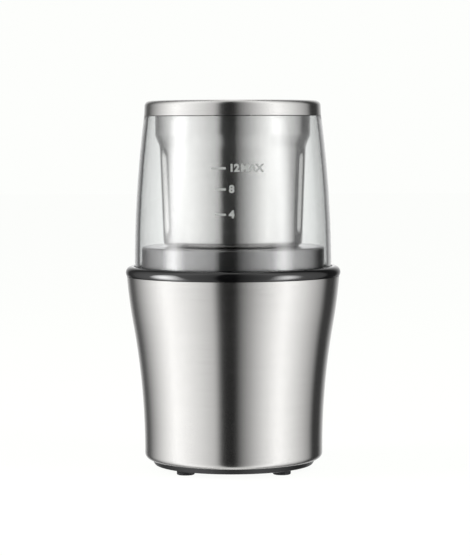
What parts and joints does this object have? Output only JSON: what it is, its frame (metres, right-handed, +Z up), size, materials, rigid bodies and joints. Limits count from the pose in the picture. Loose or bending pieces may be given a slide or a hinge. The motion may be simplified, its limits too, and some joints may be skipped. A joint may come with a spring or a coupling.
{
  "type": "wet and dry grinder",
  "caption": "Press-to-run wet and dry grinder: flared brushed steel motor base, black collar ring and a clear, steel-capped lid over a lift-out fluted steel bowl with a bent blade.",
  "frame": {"origin": "on the grinder's axis, on the plane that its feet stand on", "axes": "+Z up, from the feet to the steel cap; -Y the front, the side with the scale on the bowl; +X the right as seen from the front, the side of the lid switch"},
  "size_m": [0.1204, 0.1204, 0.206],
  "materials": {
    "brushed_shell": "brushed around the axis",
    "brushed_cap": "brushed around the axis",
    "satin_bowl": "satin, deep drawn",
    "clear_lid": "clear, polished",
    "black_gloss": "gloss",
    "black_matte": "fine spark texture",
    "grey_plate": "satin",
    "white_silicone": "matt",
    "black_rubber": "matt",
    "blade_steel": "ground edges",
    "bright_steel": "turned",
    "spring_steel": "drawn wire",
    "plated_screws": "zinc plated",
    "bush_bronze": "turned",
    "contact_brass": "stamped",
    "copper": "lacquered wire and drawn bars",
    "bracket_alloy": "die cast",
    "laminations": "varnished sheet stack",
    "carbon": "pressed carbon",
    "coupling_nylon": "glass filled",
    "plunger_acetal": "natural",
    "switch_case": "moulded",
    "switch_red": "moulded"
  },
  "bodies": {
    "base": {"collar_ring": "black_gloss", "top_deck": "black_matte", "well_seal": "black_rubber", "base_shell": "brushed_shell", "cord_inlet": "black_rubber", "bottom_cover": "black_matte", "feet": "black_rubber", "cover_screws": "plated_screws", "motor_lower_bracket": "bracket_alloy", "motor_upper_bracket": "bracket_alloy", "motor_bolts": "plated_screws", "motor_dampers": "black_rubber", "damper_screws": "plated_screws", "lower_bearing": "bush_bronze", "upper_bearing": "bush_bronze", "stator_core": "laminations", "field_coils": "copper", "carbon_brushes": "carbon", "brush_holders": "contact_brass", "brush_springs": "spring_steel", "microswitch": "switch_case", "switch_terminals": "contact_brass", "switch_screws": "plated_screws"},
    "rotor": {"motor_shaft": "bright_steel", "armature_core": "laminations", "armature_winding": "copper", "commutator": "copper", "cooling_fan": "black_matte", "drive_coupling": "coupling_nylon"},
    "bowl": {"bowl_shell": "satin_bowl", "bowl_skirt": "satin_bowl", "bowl_core": "black_matte", "bowl_bush": "bush_bronze", "floor_gasket": "white_silicone", "clamp_nut": "bright_steel", "shaft_seal": "black_rubber"},
    "blade_set": {"blade_shaft": "bright_steel", "blade": "blade_steel", "blade_spacer": "bright_steel", "blade_nut": "bright_steel", "shaft_retainer": "spring_steel", "driven_coupling": "coupling_nylon"},
    "inner_lid": {"seal_plate": "grey_plate", "bowl_seal": "white_silicone", "lid_spring": "spring_steel"},
    "lid": {"lid_shell": "clear_lid", "lid_cap": "brushed_cap", "cap_carrier": "black_matte"},
    "plunger": {"switch_plunger": "plunger_acetal"},
    "button": {"switch_button": "switch_red"}
  },
  "joints": [
    {"name": "motor_spin", "type": "hinge", "parent": "base", "child": "rotor", "pos_m": [0, 0, 0.05], "axis": [0, 0, 1], "continuous": true},
    {"name": "bowl_lift", "type": "slide", "parent": "base", "child": "bowl", "axis": [0, 0, 1], "range_m": [0, 0.08]},
    {"name": "blade_spin", "type": "hinge", "parent": "bowl", "child": "blade_set", "pos_m": [0, 0, 0.1306], "axis": [0, 0, 1], "continuous": true},
    {"name": "lid_lift", "type": "slide", "parent": "bowl", "child": "inner_lid", "axis": [0, 0, 1], "range_m": [0, 0.11]},
    {"name": "lid_press", "type": "slide", "parent": "inner_lid", "child": "lid", "axis": [0, 0, 1], "range_m": [-0.0025, 0], "stiffness_N_per_m": 800, "springref_m": 0.004, "deforming": ["lid_spring"]},
    {"name": "plunger_slide", "type": "slide", "parent": "base", "child": "plunger", "axis": [0, 0, 1], "range_m": [-0.0025, 0]},
    {"name": "button_slide", "type": "slide", "parent": "base", "child": "button", "axis": [0, 0, 1], "range_m": [-0.00082, 0]}
  ],
  "couplings": [
    {"joint": "blade_spin", "follows": "motor_spin", "ratio": 1},
    {"joint": "plunger_slide", "follows": "lid_press", "ratio": 1},
    {"joint": "button_slide", "follows": "lid_press", "ratio": 0.32}
  ]
}
